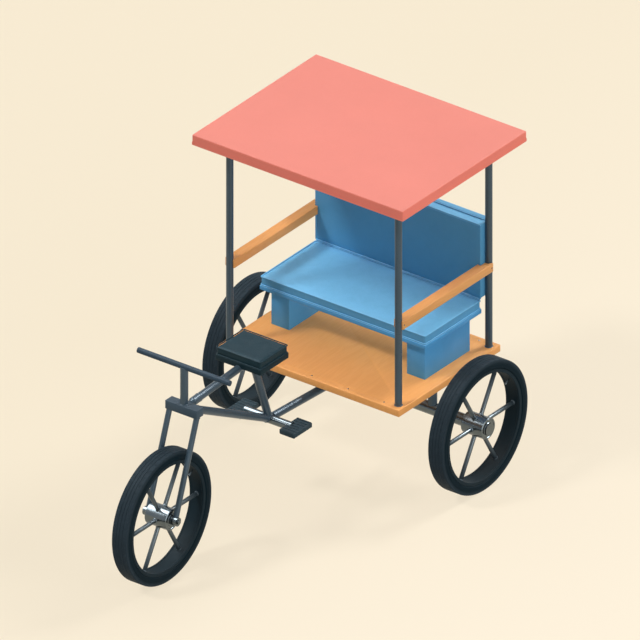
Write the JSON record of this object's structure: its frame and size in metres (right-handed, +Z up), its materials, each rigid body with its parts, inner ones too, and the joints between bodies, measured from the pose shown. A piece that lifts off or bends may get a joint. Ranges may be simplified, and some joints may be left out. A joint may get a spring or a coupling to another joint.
{
  "type": "cycle rickshaw",
  "caption": "Pedal tricycle with a steered front wheel, a saddle, and a canopied passenger bench on a wooden deck between two rear wheels.",
  "frame": {"origin": "centre of the footprint on the ground: middle plane, halfway between the front tyre and the canopy's rear edge", "axes": "+Z up, the vehicle faces -Y, +X is the rider's left"},
  "size_m": [1.66, 2.68, 1.93],
  "materials": {
    "frame_paint": "satin dark grey paint",
    "axle_steel": "smooth dark steel",
    "wheel_paint": "satin dark grey paint",
    "tyre_rubber": "matt black rubber",
    "pedal_rubber": "matt black rubber",
    "saddle_cover": "dark padded vinyl",
    "saddle_base": "dark paint",
    "deck_wood": "orange varnish",
    "bench_paint": "blue paint on wood",
    "bench_cover": "blue vinyl",
    "canopy_cover": "coral coated cloth",
    "canopy_wood": "plain timber"
  },
  "bodies": {
    "frame": {"head_lug": "frame_paint", "top_tube": "frame_paint", "down_tube": "frame_paint", "seat_tube": "frame_paint", "main_tube": "frame_paint", "bottom_bracket": "axle_steel", "saddle_base": "saddle_base", "saddle": "saddle_cover", "rear_axle": "axle_steel", "axle_caps": "axle_steel", "axle_strut_left": "frame_paint", "axle_strut_right": "frame_paint", "axle_hanger": "frame_paint", "front_bearer": "frame_paint", "deck": "deck_wood", "post_front_left": "frame_paint", "post_front_right": "frame_paint", "post_rear_left": "frame_paint", "post_rear_right": "frame_paint", "armrest_left": "deck_wood", "armrest_right": "deck_wood", "seat_box_left": "bench_paint", "seat_box_right": "bench_paint", "seat_board": "bench_paint", "seat_cushion": "bench_cover", "backrest_board": "bench_paint", "backrest_cushion": "bench_cover", "canopy_frame": "canopy_wood", "canopy_cover": "canopy_cover"},
    "steering": {"crown": "frame_paint", "stem": "frame_paint", "handlebar": "frame_paint", "fork_leg_left": "frame_paint", "fork_leg_right": "frame_paint", "front_axle": "axle_steel"},
    "front_wheel_body": {"front_wheel": "wheel_paint", "front_tyre": "tyre_rubber"},
    "rear_wheel_left_body": {"rear_wheel_left": "wheel_paint", "rear_tyre_left": "tyre_rubber"},
    "rear_wheel_right_body": {"rear_wheel_right": "wheel_paint", "rear_tyre_right": "tyre_rubber"},
    "pedals": {"pedal_shaft": "axle_steel", "pedal_left": "pedal_rubber", "pedal_right": "pedal_rubber"}
  },
  "joints": [
    {"name": "steering", "type": "hinge", "parent": "frame", "child": "steering", "pos_m": [0, -0.76, 0.95], "axis": [0, 0, 1], "range_deg": [-45, 45]},
    {"name": "front_wheel_spin", "type": "hinge", "parent": "steering", "child": "front_wheel_body", "pos_m": [0, -0.96, 0.38], "axis": [1, 0, 0], "continuous": true},
    {"name": "rear_wheel_left_spin", "type": "hinge", "parent": "frame", "child": "rear_wheel_left_body", "pos_m": [0.75, 0.84, 0.38], "axis": [1, 0, 0], "continuous": true},
    {"name": "rear_wheel_right_spin", "type": "hinge", "parent": "frame", "child": "rear_wheel_right_body", "pos_m": [-0.75, 0.84, 0.38], "axis": [1, 0, 0], "continuous": true},
    {"name": "pedal_spin", "type": "hinge", "parent": "frame", "child": "pedals", "pos_m": [0, -0.01, 0.55], "axis": [1, 0, 0], "continuous": true}
  ]
}
